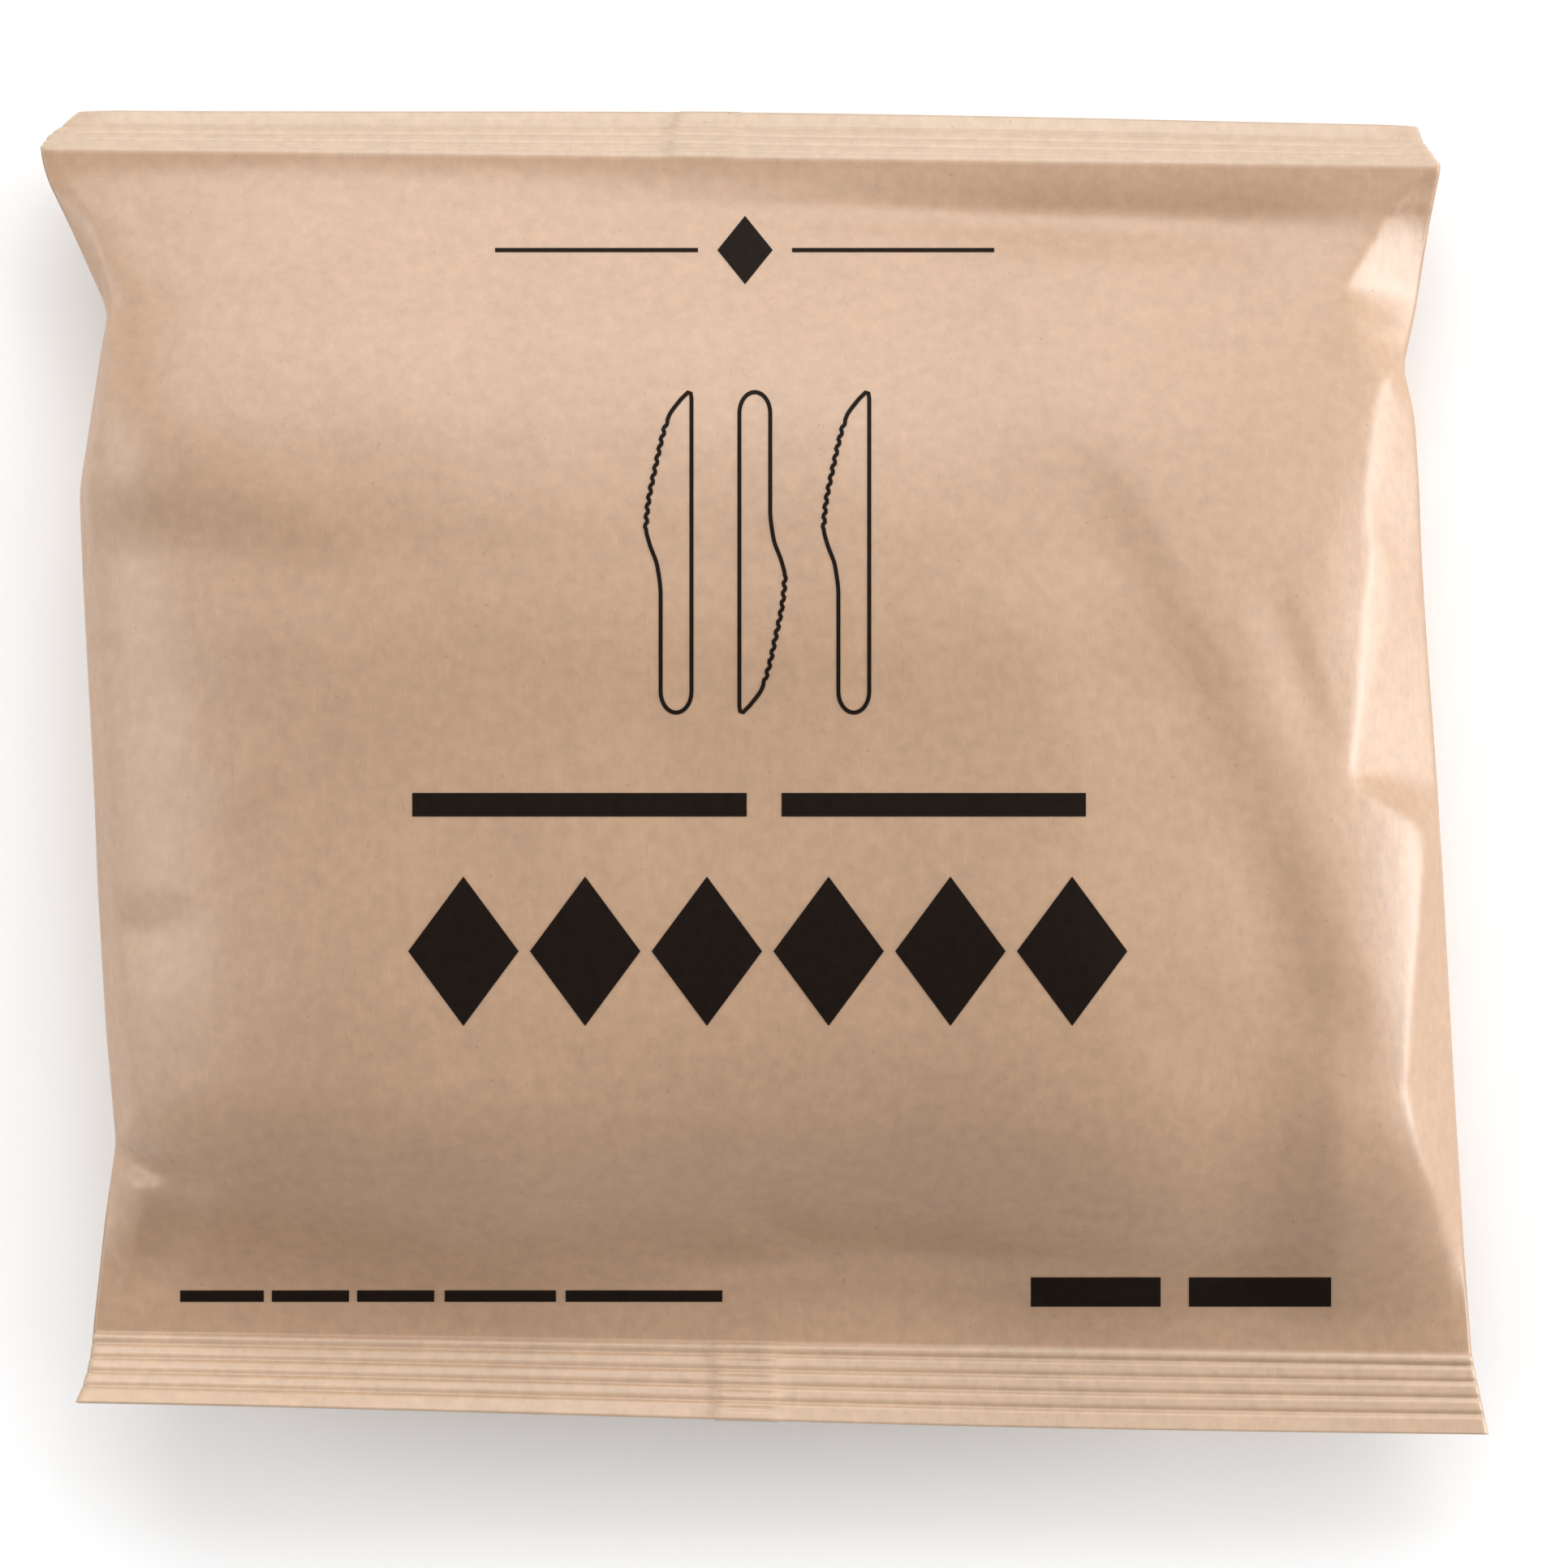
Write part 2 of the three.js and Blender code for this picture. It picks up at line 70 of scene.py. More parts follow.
RIGHT_BOTTOM_SLOPE = [[0, 0], [4, 0.06], [10, 0.3], [17, 0.58], [26, 0.82], [38, 0.95], [56, 1]]
BACK_SLOPE = [[0, 0], [4, 0.22], [9, 0.46], [16, 0.7], [28, 0.93], [42, 1]]
LEFT_TOP_SIDE = (-0.5, 0.6)
LEFT_BOTTOM_SIDE = (0, 0.5)
RIGHT_BOTTOM_SIDE = (0.2, 0.6)

# Sections: fullness and roundness near the seals, at the left, at the right and on the back
LENS = (2, 1.1)
LEFT_FULLNESS = [[0, 8], [34, 10], [60, 4.2], [168.6, 4.2]]
LEFT_ROUNDNESS = [[0, 2.6], [34, 3], [60, 2], [168.6, 2]]
RIGHT_FULLNESS = [[0, 2.3], [70, 2.5], [100, 3.6], [120, 4.4], [168.6, 4.4]]
RIGHT_ROUNDNESS = [[0, 2], [75, 2], [105, 2.6], [168.6, 2.7]]
BACK_SIDE = (4.5, 2)

# Plan of the side edges: distance from the nearer seal's root, distance in from the flat tube's edge
LEFT_TOP_EDGE = [[0, 0], [4, 0.8], [11, 4], [23, 9], [27, 8], [48.5, 4]]
LEFT_BOTTOM_EDGE = [[0, 1.9], [17, 4.3], [27, 6.1], [44, 5.2], [64, 4.7]]
RIGHT_TOP_EDGE = [[0, 0], [4, 0.7], [19, 3.4], [28.5, 6.1], [36, 4.9], [46, 4.6]]
RIGHT_BOTTOM_EDGE = [[0, 1.2], [14, 1.8], [40, 2.5], [75, 3.2]]
EDGE_ROUNDING = 1.6  # half the length of the round at each corner of the side edges
EDGE_MIDDLE = (0.3, 0.6)  # shares of the way down between which the upper edge turns into the lower one
# Below the top seal's right corner the side edge sinks: distance below the seal, drop
RIGHT_EDGE_DROP = [[0, 0], [3, 1.6], [8, 3.8], [17, 5], [25, 3], [34, 0]]

# Side walls of the front: distance below the top seal, distance in from the edge to the wall's crease
LEFT_WALL = [
    [0, 1], [10.4, 3.6], [19.8, 2], [23, 0.8], [30, 2.5], [40, 3.2], [43, 2.5], [100, 3.4], [136, 4.5],
    [142, 1.2], [150, 5], [168.6, 1],
]
RIGHT_WALL = [
    [0, 1], [3, 4.1], [6, 6.2], [9, 7.4], [17.8, 11.8], [21, 10.2], [27, 3.8], [29, 1.2], [33, 4.3],
    [46, 8.2], [51.7, 8.6], [54.3, 7.7], [61.5, 8], [82, 13], [87, 14.3], [92.8, 3.5], [97, 3],
    [118.7, 6.9], [130.3, 8.8], [138.5, 7.2], [146, 4.4], [154, 2.3], [168.6, 0.8],
]
WALL_ROUNDING = 1  # half the length of the round at each corner of the crease's line
# Softness of that crease: distance below the top seal, rounding in mm
LEFT_SOFTNESS = [[0, 1.5], [8, 0.5], [24, 0.5], [30, 2.5], [140, 1.2], [168.6, 1]]
RIGHT_SOFTNESS = [
    [0, 2], [10, 1.6], [13, 0.5], [28, 0.5], [36, 2.5], [44, 0.8], [54, 0.6], [62, 2.5], [72, 1.2],
    [76, 0.5], [90, 0.5], [97, 2.5], [120, 2.2], [128, 0.5], [168.6, 0.5],
]
SOFTNESS_ROUNDING = 2  # half the length over which each of these values turns into the next
ROOT_SOFTNESS = 0.3  # the same softness at a seal's root
ROOT_REACH = 12  # distance from the root over which that gives way to the softness above
LEAST_CREASE = 0.05  # least height of the crease
GROWTH_BEYOND = 0.5  # how much more the panel may rise for each mm beyond the crease

# Buckles that run in from a side edge: distance below the top seal, reach, half width, share of the height
# lost, and how far the buckle moves down for each mm of its reach
LEFT_CREASES = [
    (71.4, 10, 2.4, 0.25, 0.05), (111, 14, 5, 0.12, 0), (142.5, 10, 4, 0.5, 0.45), (45, 8, 2, 0.12, 0),
]
RIGHT_CREASES = [(28.8, 13, 5, 0.4, -0.65)]
BACK_CREASE_SHARE = 0.7  # the same creases on the back, beside those of the front

# Folds of the front panel along lines. The ends of a line are shares of the way from the middle to a side
# edge and shares of the way down. Then come its rise, its half widths to the line's left and right, and its
# power: 2 is soft, less is crisp.
FOLDS = [
    ((0.42, 0.2), (0.71, 0.58), -1, 9, 20, 2),
    ((0.62, 0.46), (0.79, 0.8), -1.6, 13, 28, 2),
    ((0.69, 0.6), (0.7, 1.25), -2.7, 12, 25, 2),
    ((0.7, 0.54), (0.79, 0.76), -0.4, 6, 9, 2),
    ((0.75, 0.34), (0.82, 0.51), -0.5, 4, 6, 2),
    ((-0.98, 0.3), (-0.5, 0.39), -0.6, 9, 10, 2),
    ((-0.99, 0.65), (-0.8, 0.655), -0.7, 6, 11, 2),
    ((-0.9, 0.48), (-0.7, 0.56), 0.5, 10, 10, 2),
    ((-1.4, 0.79), (0.95, 0.76), 1.4, 50, 22, 2),
    ((-1.1, 0.823), (-0.8, 0.877), -2, 3.5, 5, 1.5),
    ((-0.88, 0.86), (-0.94, 1), -1.2, 7, 6, 2),
    ((-0.05, 0.915), (0.62, 0.925), -1.1, 9, 5, 1.4),
    ((-0.19, 0.945), (0.1, 0.922), -0.8, 7, 3, 1.5),
    ((-0.1, 0.87), (0.09, 0.925), -0.7, 7, 4, 1.4),
    ((-0.62, 0.84), (-0.4, 0.9), -0.5, 8, 7, 2),
    ((0.15, 0.042), (0.95, 0.05), -1.2, 7, 8, 2),
]
FOLD_END = 0.35  # share of a fold's length over which each end fades
FOLD_FADE = {"edge": 2, "seal": 12}  # distance over which folds fade beside the side edges and the seals

# Swells of handled paper: size across and along the pack, height, and place in the noise
SWELLS = [(26, 34, 0.5, 3.7), (9, 13, 0.14, 8.1)]
SWELL_FADE = 10  # distance from the panel's outline over which they fade
BACK_SWELL_SHIFT = 300  # the back's swells come from another place in the noise

# End seals, from the root to the free edge
ROOT_BAND = 1
ROOT_RIDGE = 0.3
ROOT_RIDGE_TOP = 0.8  # place of the ridge's top, as a share of the root band
GROOVE_COUNT = 4
CRIMP_PITCH = 2.3
GROOVE_WIDTH = 1.2
GROOVE_DEPTH = {"top": 0.32, "bottom": 0.45}
GROOVE_POWER = 1.3  # over 1, a groove's edges are rounded
FLAP_GROOVE_SHARE = 0.6  # depth of the finer grooves over the flap, as a share of the others
FLAP_GROOVE_FADE = 0.5
RIBBED_DEPTH = 8.9
SEAL_DEPTH = 11.3
BEND_HALF = 1.2  # half the length over which a seal's bend changes, past its last groove
# Bends in degrees below level: share of the way from left to right, angle
TOP_BEND = {"ribbed": [[0, 58], [0.5, 51], [1, 56]], "plain": [[0, 28], [1, 28]]}
BOTTOM_BEND = {"ribbed": [[0, -37], [1, -4]], "plain": [[0, -40], [1, -6]]}
# How far the top corners are cut in and the bottom corners spread out, left and right, and by what power
CORNER_CUT = (3.8, 1.9)
CORNER_CURVE = (3, 1.3)
BOTTOM_FLARE = (1.4, 2.3)
BOTTOM_FLARE_CURVE = (2.5, 1)
CORNER_ROLL = 7  # length of the rolled top corner along the edge
CORNER_DROP = 1.6  # how far it is rolled down
WAVE_HEIGHT = 0.5  # gentle wave of the free edges
WAVE_COUNT = 1.3  # waves along a free edge
WAVE_START = 0.2  # share of a wave that lies before the left end

# Flap seam down the back
FLAP_FOLD = 0.495  # place of the fold across the tube, as a share of its width from the left
FLAP_WIDTH = 9
FLAP_THICKNESS = 0.5
FLAP_RELIEF = 2.2  # width beside the flap over which the wall comes back out to the flap's face
FLAP_SHOW = 0.3  # share of the flap's thickness that shows through on the front of the seals
FLAP_EDGE = 0.1  # width of the step at each side of the flap

# Fineness of the mesh
SIDE_COLUMNS = 88
FLAP_COLUMNS = 8
BODY_ROWS = 150
RIM_ROWS = 5
ROOT_STEPS = (0.35, 0.7)  # distances out from the root
GROOVE_STEPS = (-0.5, -0.33, -0.16, 0, 0.16, 0.33, 0.5, 0.75, 0.96, 1.2)  # shares of a groove's width
CROWDING = 0.55  # how much closer together the rows and columns are at the ends and sides
BEND_STEPS = 24  # steps in which a seal's bend is followed out to its edge
PLAN_ROUNDS = 4  # rounds in which a place on the plan finds its row
PHOTO_ROUNDS = 5  # rounds in which a place in the photo finds its height

# Colours and gloss
PAPER_COLOUR = (0.393, 0.234, 0.132)
# The seals are coloured paler than the paper: painted light, standing in for the light that the crimped seals
# catch.
TOP_SEAL_COLOUR_WITH_PAINTED_LIGHT = (0.46, 0.322, 0.214)
BOTTOM_SEAL_COLOUR_WITH_PAINTED_LIGHT = (0.482, 0.326, 0.209)
PAPER_ROUGHNESS = 0.48
PAPER_GLOSS = 0.9
PAPER_IOR = 1.6
INK_COLOUR = (0.007, 0.003, 0.001)
INK_ROUGHNESS = 0.6
FLOOR_COLOUR = (0.95, 0.95, 0.95, 1)
FLOOR_ROUGHNESS = 0.9
DULL_GLOSS = 0.1

# Patterns in the paper and the ink. First the noise: spot size in mm, stretch along the pack, detail,
# roughness and turn. Then the range of the noise that shows, and the tone at that range's two ends.
CLOUDS = ((24, 1.2, 3, 0.55, 0), (0.3, 0.7), (0.96, 1.04))
PULP = ((1.9, 1.1, 4, 0.6, 0), (0.3, 0.7), (0.91, 1.09))
FIBRES = ((0.45, 9, 2, 0.5, 0.12), (0.62, 0.72), (1, 1.07))
DARK_FIBRES = ((0.4, 11, 2, 0.5, -0.2), (0.66, 0.76), (1, 0.9))
SPECKS = ((0.9, 1, 1, 0.55, 0), (0.76, 0.8), (1, 0.75))
UNEVEN_INK = ((1.4, 1.2, 4, 0.55, 0), (0.3, 0.7), (0.8, 1.25))
# Fine relief of the paper: the noise as above, and its height in mm
COCKLE = ((5, 1.2, 2, 0.55, 0), 0.12)
GRAIN = ((0.7, 2.2, 3, 0.55, 0), 0.02)

# Where the photo's camera looks from, and the half width that it sees at the height of the side edges
CAMERA_OFFSET = (2.85, -2.3)
CAMERA_DISTANCE = 650
HALF_VIEW = 111.6
PHOTO_SIZE = 1932

# Print, in pixels of the photo: left and right of each bar, top and bottom of its row
TOP_RULES = [(610, 860), (976, 1225)]
TOP_RULE_ROW = (305.5, 310.5)
TITLE_BARS = [(508, 920), (963, 1338)]
TITLE_ROW = (977, 1006)
SMALL_WORDS = [(222, 325), (335, 430), (440, 535), (548, 685), (697, 890)]
SMALL_WORDS_ROW = (1590, 1604)
COUNT_BARS = [(1270, 1430), (1465, 1640)]
COUNT_ROW = (1574, 1610)
BAR_STEP = 9  # distance between the places over a bar
# Diamonds: middle, then half width and half height
TOP_DIAMOND = ((918, 308), (34, 42))
ROW_DIAMOND = ((571, 1172), (68, 92))
DIAMOND_COUNT = 6
DIAMOND_PITCH = 150
DIAMOND_STEPS = 12
DIAMOND_TIP = 0.01  # half width of a diamond's tips
INK_LIFT = 0.09  # height of the ink above the paper in mm

# Knives: left side of each, and whether its blade points down
KNIVES = [(796, False), (910, True), (1015, False)]
KNIFE_TOP = 483
KNIFE_LENGTH = 395
KNIFE_WIDTH = 57
KNIFE_LINE = 5
# One knife with its blade up. The edge gives the distance down, then the distance across.
KNIFE_EDGE = [
    [0, 50], [10, 42], [30, 28], [90, 12], [150, 1], [168, 0], [186, 4], [215, 14], [250, 18], [370, 18],
]
KNIFE_EDGE_SPAN = (4, 367)
EDGE_STEP = 3
TEETH_SPAN = (34, 168)
TEETH_HEIGHT = 1.6
TEETH_PITCH = 12
KNIFE_BACK = 56  # place of its straight back across
KNIFE_BACK_TOP = 8
BACK_STEP = 6
KNIFE_HANDLE = 18  # place of the handle's other side across
KNIFE_ROUND_END = 26  # length of the handle's round end
KNIFE_END_STEPS = 17
KNIFE_TIP = [(52, 0), (55, 1)]  # corners of the tip, across and down

# Studio: floor's half width, lights' distance in metres, and strength of the light from all round
FLOOR_REACH = 3
LIGHT_DISTANCE = 2.2
ROOM_LIGHT = 0.58


def smooth_line(stations):
    """A smooth function through stations (place, value), without overshoot, level beyond its ends."""
    places, values = np.array(stations, float).T
    steps = np.diff(values) / np.diff(places)
    product = steps[:-1] * steps[1:]
    total = steps[:-1] + steps[1:]
    slopes = np.zeros(len(places))
    slopes[1:-1] = np.where(product > 0, 2 * product / np.where(product > 0, total, 1), 0)

    def at(place):
        place = np.clip(place, places[0], places[-1])
        i = np.clip(np.searchsorted(places, place, side="right") - 1, 0, len(places) - 2)
        span = places[i + 1] - places[i]
        t = (place - places[i]) / span
        rest = 1 - t
        ends = values[i] * rest**2 * (1 + 2 * t) + values[i + 1] * t**2 * (3 - 2 * t)
        return ends + span * t * rest * (slopes[i] * rest - slopes[i + 1] * t)

    return at


def rounded_line(stations, half):
    """Straight lines from station to station, with each corner rounded over a half length."""
    places, values = np.array(stations, float).T
    offsets = [step * half for step in (-1, -0.5, 0, 0.5, 1)]
    return lambda place: sum(np.interp(place + offset, places, values) for offset in offsets) / len(offsets)


def smoothstep(value, low, high):
    """A smooth step from 0 to 1 as the value goes from low to high."""
    t = np.clip((value - low) / (high - low), 0, 1)
    return t * t * (3 - 2 * t)


def mix(a, b, share):
    """The value at a share of the way from one value to another."""
    return a + (b - a) * share


def smooth_min(a, b, rounding):
    """The lesser of two values, with the corner between them rounded."""
    near = np.maximum(rounding - np.abs(a - b), 0) / rounding
    return np.minimum(a, b) - near * near * rounding / 4


def side_edge(from_top, from_bottom):
    """One side's edge: its distance in from the flat tube's edge, by the distance below the top seal."""
    upper = rounded_line(from_top, EDGE_ROUNDING)
    lower = rounded_line(from_bottom, EDGE_ROUNDING)
    return lambda below: mix(
        upper(below), lower(PANEL_LENGTH - below), smoothstep(below / PANEL_LENGTH, *EDGE_MIDDLE)
    )


left_inset = side_edge(LEFT_TOP_EDGE, LEFT_BOTTOM_EDGE)
right_inset = side_edge(RIGHT_TOP_EDGE, RIGHT_BOTTOM_EDGE)
front_top_slope = smooth_line(FRONT_TOP_SLOPE)
front_bottom_slope = smooth_line(FRONT_BOTTOM_SLOPE)
left_top_slope = smooth_line(LEFT_TOP_SLOPE)
left_bottom_slope = smooth_line(LEFT_BOTTOM_SLOPE)
right_bottom_slope = smooth_line(RIGHT_BOTTOM_SLOPE)
back_slope = smooth_line(BACK_SLOPE)
left_fullness = smooth_line(LEFT_FULLNESS)
left_roundness = smooth_line(LEFT_ROUNDNESS)
right_fullness = smooth_line(RIGHT_FULLNESS)
right_roundness = smooth_line(RIGHT_ROUNDNESS)
left_wall = rounded_line(LEFT_WALL, WALL_ROUNDING)
right_wall = rounded_line(RIGHT_WALL, WALL_ROUNDING)
left_softness = rounded_line(LEFT_SOFTNESS, SOFTNESS_ROUNDING)
right_softness = rounded_line(RIGHT_SOFTNESS, SOFTNESS_ROUNDING)
right_edge_drop = smooth_line(RIGHT_EDGE_DROP)


def row_point(share, below, left_end, right_end):
    """Plan of the point at a share of the way across a row that ends at distances in from the flat tube."""
    down = np.clip(below / PANEL_LENGTH, 0, 1)
    tilt = np.tan(np.radians(mix(TOP_TILT, BOTTOM_TILT, down)))
    half = TUBE_WIDTH / 2
    x = mix(-half + left_end, half - right_end, share)
    return mix(-LEAN / 2, LEAN / 2, down) + x, PANEL_LENGTH / 2 - below - tilt * x


def crease_share(creases, inward, below):
    """How much is left of the height beside the creases of an edge, at a distance in from that edge."""
    left = np.ones_like(inward * below)
    for middle, reach, half, depth, slant in creases:
        run = np.maximum(1 - inward / reach, 0)
        off = np.abs(below - middle - slant * inward)
        tent = np.maximum(0, 1 - off / (half * np.maximum(run, 1e-6)))
        left *= 1 - depth * tent * run
    return left


def section_share(side, across, below, top_blend=END_BLEND):
    """Share of the crown height across a section: 0 at the side edges, 1 in the middle."""
    full = np.minimum(smoothstep(below, 0, top_blend), smoothstep(PANEL_LENGTH - below, 0, END_BLEND))
    fullness = mix(LENS[0], side[0], full)
    roundness = mix(LENS[1], side[1], full)
    return np.maximum(0, 1 - np.abs(across) ** fullness) ** (1 / roundness)


def fold_rise(across, below):
    """Height that folds add at a place on the front panel."""
    half = TUBE_WIDTH / 2
    x = across * half
    y = -below
    rise = np.zeros_like(x * y)
    for (across0, down0), (across1, down1), height, left, right, power in FOLDS:
        x0, y0 = across0 * half, -down0 * PANEL_LENGTH
        dx, dy = across1 * half - x0, -down1 * PANEL_LENGTH - y0
        length = math.hypot(dx, dy)
        along = ((x - x0) * dx + (y - y0) * dy) / length**2
        aside = (dx * (y - y0) - dy * (x - x0)) / length
        reach = np.minimum(np.abs(aside) / np.where(aside > 0, left, right), 1)
        profile = (1 - reach**2) ** 2 if power == 2 else (1 - reach) ** power
        ends = smoothstep(along, 0, FOLD_END) * smoothstep(1 - along, 0, FOLD_END)
        rise += height * profile * ends
    return rise


def pillow_rise(across, below):
    """The front panel's height above the side edges, before its walls and folds."""
    above = PANEL_LENGTH - below
    left_side = left_fullness(below), left_roundness(below)
    right_side = right_fullness(below), right_roundness(below)
    left = section_share(left_side, across, below, TOP_BLEND["left"])
    right = section_share(right_side, across, below, TOP_BLEND["right"])
    head = mix(front_top_slope(below), left_top_slope(below), smoothstep(-across, *LEFT_TOP_SIDE))
    foot = mix(front_bottom_slope(above), left_bottom_slope(above), smoothstep(-across, *LEFT_BOTTOM_SIDE))
    foot = mix(foot, right_bottom_slope(above), smoothstep(across, *RIGHT_BOTTOM_SIDE))
    return CROWN_RISE * head * foot * np.where(across < 0, left, right)


def raised(across, below, width):
    """The front panel's height above the side edges, before its side walls."""
    from_edge = (1 - np.abs(across)) / 2 * width
    to_seal = np.minimum(PANEL_LENGTH - below, below)
    fade = smoothstep(from_edge, 0, FOLD_FADE["edge"]) * smoothstep(to_seal, 0, FOLD_FADE["seal"])
    return pillow_rise(across, below) + fold_rise(across, below) * fade


def front_rise(share, below, width):
    """Height of the front panel above the side edges, with a flat wall from each edge to its crease."""
    across = 2 * share - 1
    body = raised(across, below, width)
    from_root = smoothstep(np.minimum(PANEL_LENGTH - below, below), 0, ROOT_REACH)
    from_left = share * width
    from_right = (1 - share) * width
    sides = ((from_left, left_wall, left_softness, -1), (from_right, right_wall, right_softness, 1))
    for from_edge, wall, softness, side in sides:
        crease = wall(below)
        at_crease = np.maximum(raised(side * (1 - 2 * crease / width), below, width), LEAST_CREASE)
        limit = at_crease * from_edge / crease
        limit = np.where(from_edge > crease, limit + (from_edge - crease) * GROWTH_BEYOND, limit)
        rounding = mix(ROOT_SOFTNESS, softness(below), from_root)
        body = np.where(body > 0, smooth_min(body, limit, rounding), body)
    left = crease_share(LEFT_CREASES, from_left, below)
    right = crease_share(RIGHT_CREASES, from_right, below)
    return body * left * right


def back_drop(share, below, width):
    """Depth of the back below the side edges, before the surface under the pack presses it flat."""
    above = PANEL_LENGTH - below
    section = section_share(BACK_SIDE, 2 * share - 1, below)
    left = crease_share(LEFT_CREASES, share * width, below)
    right = crease_share(RIGHT_CREASES, (1 - share) * width, below)
    drop = BASE_SPREAD * SEAM_HEIGHT * back_slope(above) * back_slope(below)
    return drop * section * mix(1, left * right, BACK_CREASE_SHARE)


def outside_flap(share):
    """How far a place across the tube lies outside the flap, negative on the flap."""
    fold = FLAP_FOLD * TUBE_WIDTH
    place = share * TUBE_WIDTH
    return np.maximum(place - fold, fold - FLAP_WIDTH - place)


def flap_raise(share):
    """How far the flap stands out from the back."""
    return np.where(outside_flap(share) < 0, FLAP_THICKNESS, 0)


def flap_relief(share):
    """Height at which the wall beside the flap stays clear of the surface under the pack."""
    outside = outside_flap(share)
    near = (outside > 0) & (outside < FLAP_RELIEF)
    return np.where(near, FLAP_THICKNESS * (1 - (outside - FLAP_EDGE) / (FLAP_RELIEF - FLAP_EDGE)), 0)


def half_thickness(share):
    """Each face's distance from the middle of the two layers of paper, none at the side edges."""
    return np.where((share <= 0) | (share >= 1), 0, PAPER_THICKNESS)


def crumple(x, y, strength):
    """Small irregular swells of paper that has been handled."""
    points = np.column_stack([np.ravel(x), np.ravel(y)])
    rise = np.zeros(len(points))
    for across, along, height, place in SWELLS:
        swell = [noise.noise(Vector((px / across, py / along, place))) for px, py in points]
        rise += np.array(swell) * height
    return (rise * np.ravel(strength)).reshape(np.shape(x))


def body_surface(share, below, front):
    """Points of the filled body's front or back. The surface under the pack presses its back flat."""
    ends = left_inset(below), right_inset(below)
    x, y = row_point(share, below, *ends)
    width = TUBE_WIDTH - ends[0] - ends[1]
    from_edge = np.minimum(share, 1 - share) * width
    to_seal = np.minimum(PANEL_LENGTH - below, below)
    loose = smoothstep(np.minimum(from_edge, to_seal), 0, SWELL_FADE)
    on_right_wall = np.maximum(0, 1 - (1 - share) * width / right_wall(below))
    seam = SEAM_HEIGHT - right_edge_drop(below) * on_right_wall
    if front:
        z = seam + half_thickness(share) + front_rise(share, below, width) + crumple(x, y, loose)
    else:
        wall = seam - half_thickness(share) - back_drop(share, below, width) - flap_raise(share)
        z = np.maximum(flap_relief(share), wall + crumple(x + BACK_SWELL_SHIFT, y, loose))
    return np.stack([x, y, z], axis=-1)


def groove(out, centre, depth):
    """A rounded groove across the seal."""
    return -depth * np.maximum(0, 1 - np.abs(out - centre) / (GROOVE_WIDTH / 2)) ** GROOVE_POWER


def rib_height(out, share, depth):
    """Height of the crimp above the seal's own surface, with more grooves where the flap lies behind."""
    on_flap = smoothstep(-outside_flap(share), 0, FLAP_GROOVE_FADE)
    height = ROOT_RIDGE * np.maximum(0, 1 - (out / ROOT_BAND - ROOT_RIDGE_TOP) ** 2)
    for i in range(GROOVE_COUNT):
        centre = ROOT_BAND + GROOVE_WIDTH / 2 + i * CRIMP_PITCH
        height = height + groove(out, centre, depth)
        height = height + groove(out, centre + CRIMP_PITCH / 2, depth * FLAP_GROOVE_SHARE) * on_flap
    return height


def rib_stations():
    """Distances out over the ribbed band: close together in the grooves."""
    stations = list(ROOT_STEPS)
    for i in range(GROOVE_COUNT):
        centre = ROOT_BAND + GROOVE_WIDTH / 2 + i * CRIMP_PITCH
        stations += [centre + GROOVE_WIDTH * step for step in GROOVE_STEPS]
    return stations


def seal_line(bend, share, out):
    """The seal's middle line in section: how far out and down it has gone, and its angle there."""
    ribbed = smooth_line(bend["ribbed"])(share)
    plain = smooth_line(bend["plain"])(share)

    def angle_at(place):
        past_ribs = smoothstep(place, RIBBED_DEPTH - BEND_HALF, RIBBED_DEPTH + BEND_HALF)
        return np.radians(mix(ribbed, plain, past_ribs))

    gone = np.zeros_like(share + out)
    down = np.zeros_like(share + out)
    for i in range(BEND_STEPS):
        angle = angle_at(out * (i + 0.5) / BEND_STEPS)
        gone += np.cos(angle) * out / BEND_STEPS
        down += np.sin(angle) * out / BEND_STEPS
    return gone, down, angle_at(out)


def seal_surface(share, out, front, at_top):
    """Points of an end seal's front or back: two layers of paper, pressed together and crimped."""
    sign = 1 if at_top else -1
    done = out / SEAL_DEPTH
    below = np.where(at_top, 0.0, PANEL_LENGTH)
    if at_top:
        ends = (cut * done**curve for cut, curve in zip(CORNER_CUT, CORNER_CURVE))
    else:
        sides = zip((left_inset(below), right_inset(below)), BOTTOM_FLARE, BOTTOM_FLARE_CURVE)
        ends = (inset - flare * done**curve for inset, flare, curve in sides)
    x, y = row_point(share, below, *ends)
    gone, down, angle = seal_line(TOP_BEND if at_top else BOTTOM_BEND, share, out)
    if front:
        layer = half_thickness(share) + FLAP_SHOW * flap_raise(share)
    else:
        layer = -half_thickness(share) - flap_raise(share)
    lift = layer + rib_height(out, share, GROOVE_DEPTH["top" if at_top else "bottom"])
    to_end = np.minimum(share, 1 - share) * TUBE_WIDTH
    roll = CORNER_DROP * done * np.maximum(0, 1 - to_end / CORNER_ROLL) ** 2 if at_top else 0
    wave = WAVE_HEIGHT * done**2 * np.sin(2 * np.pi * (WAVE_COUNT * share + WAVE_START))
    y = y + sign * (gone + lift * np.sin(angle))
    z = SEAM_HEIGHT - down + lift * np.cos(angle) - roll + wave
    return np.stack([x, y, z], axis=-1)


def column_shares():
    """Places across the tube: closer together at the sides, and with a step at each edge of the flap."""
    free = FLAP_FOLD - FLAP_WIDTH / TUBE_WIDTH
    relief = FLAP_RELIEF / TUBE_WIDTH
    edge = FLAP_EDGE / TUBE_WIDTH
    even = np.linspace(0, 1, SIDE_COLUMNS)
    crowded = mix(even, 1 - np.cos(np.pi / 2 * even), CROWDING)
    left = crowded * (free - relief)
    right = (1 - crowded * (1 - FLAP_FOLD - relief))[::-1]
    flap = np.linspace(free + edge, FLAP_FOLD - edge, FLAP_COLUMNS)
    return np.concatenate([left, [free - edge], flap, [FLAP_FOLD + edge], right])


